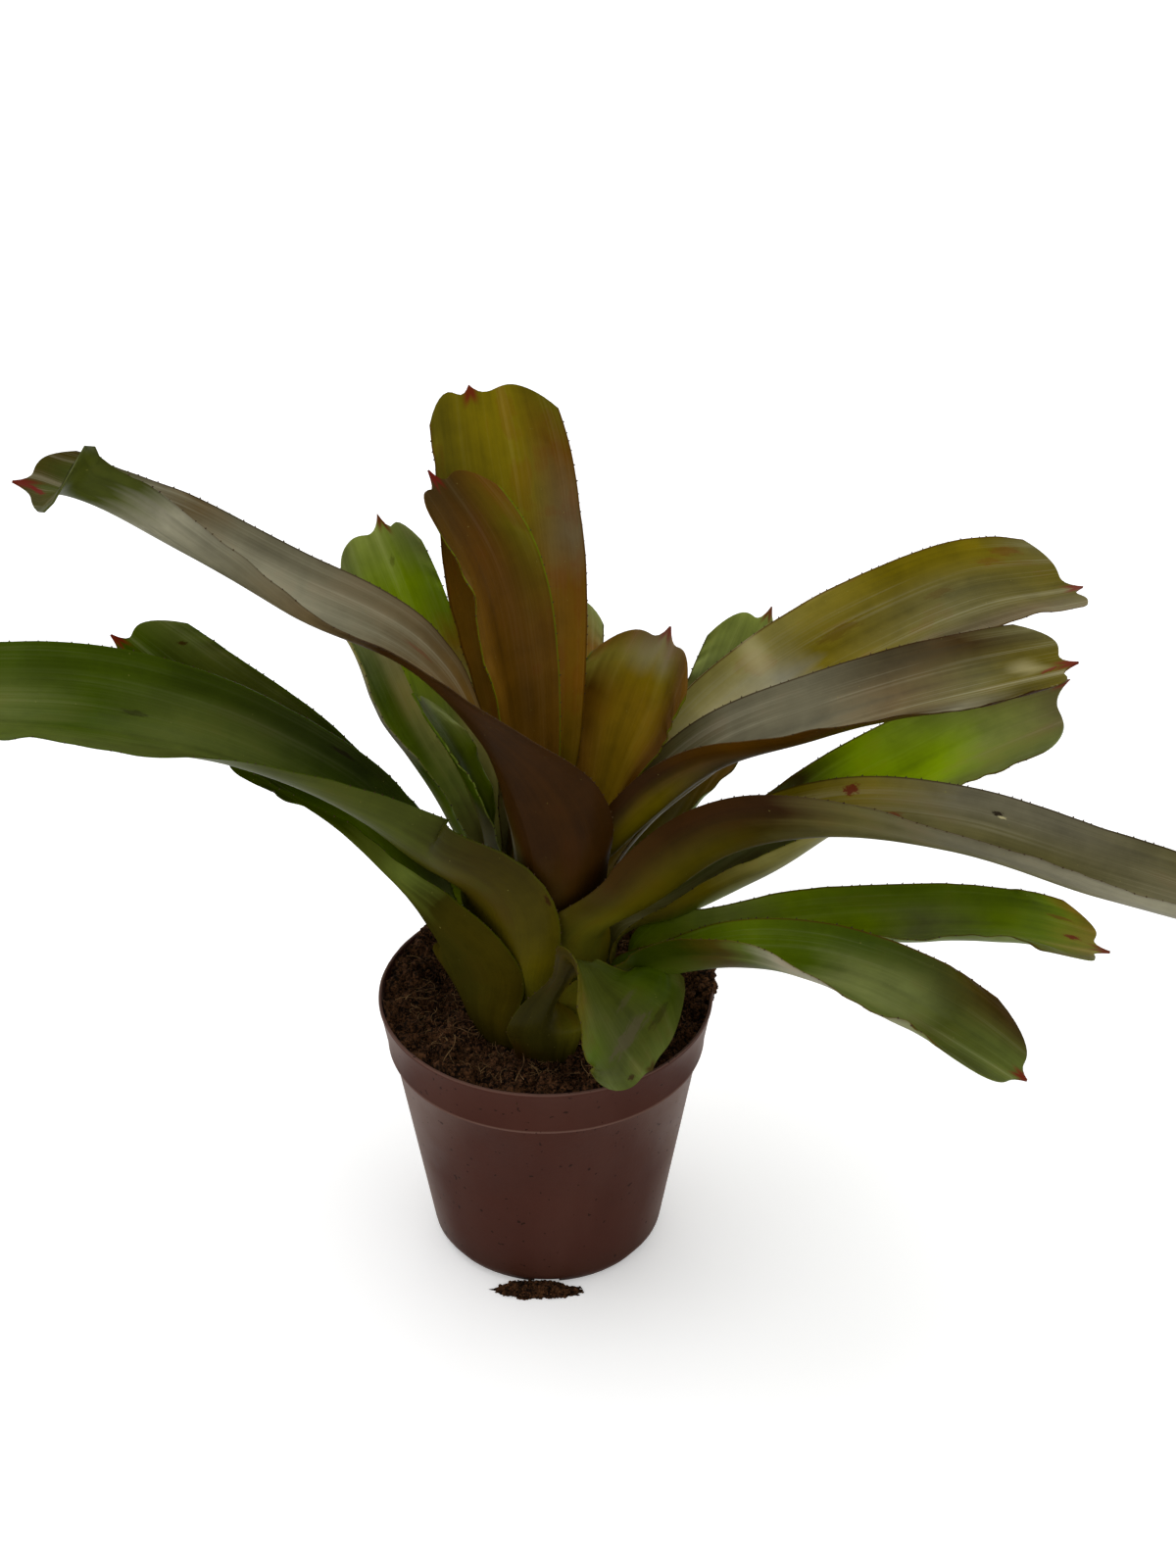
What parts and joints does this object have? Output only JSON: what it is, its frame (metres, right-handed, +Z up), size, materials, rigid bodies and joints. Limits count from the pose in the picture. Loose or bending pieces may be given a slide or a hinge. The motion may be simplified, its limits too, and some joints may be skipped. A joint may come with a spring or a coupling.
{
  "type": "potted bromeliad plant",
  "caption": "Rosette of arching, channelled strap leaves on a short stem, rooted in peat in a round tapered nursery pot that stands on its flat base.",
  "frame": {"origin": "middle of the pot's flat underside, on the pot's axis", "axes": "+Z up the pot's axis, +X to the plant's right along its widest spread of leaves, -Y to its front"},
  "size_m": [0.4517, 0.2649, 0.3242],
  "materials": {
    "terracotta_plastic": "satin",
    "peat": "matte",
    "stem_wood": "matte",
    "green_leaf": "satin",
    "deep_green_leaf": "satin",
    "olive_leaf": "satin",
    "bronze_leaf": "satin"
  },
  "bodies": {
    "root": {"nursery_pot": "terracotta_plastic", "potting_soil": "peat", "peat_spill": "peat", "stem": "stem_wood", "leaf_heart": "bronze_leaf", "leaf_heart_left": "bronze_leaf", "leaf_back_tall": "olive_leaf", "leaf_right_upper": "bronze_leaf", "leaf_left_inner": "green_leaf", "leaf_right_top": "olive_leaf", "leaf_left_long": "bronze_leaf", "leaf_left_back": "green_leaf", "leaf_right_long": "olive_leaf", "leaf_back_left": "green_leaf", "leaf_right_middle": "green_leaf", "leaf_left_broad": "deep_green_leaf", "leaf_back_hidden": "green_leaf", "leaf_back_right": "green_leaf", "leaf_back_left_low": "green_leaf", "leaf_back_low": "green_leaf", "leaf_right_front": "green_leaf", "leaf_left_low": "green_leaf", "leaf_right_lower": "green_leaf", "leaf_front_short": "deep_green_leaf"}
  },
  "joints": []
}
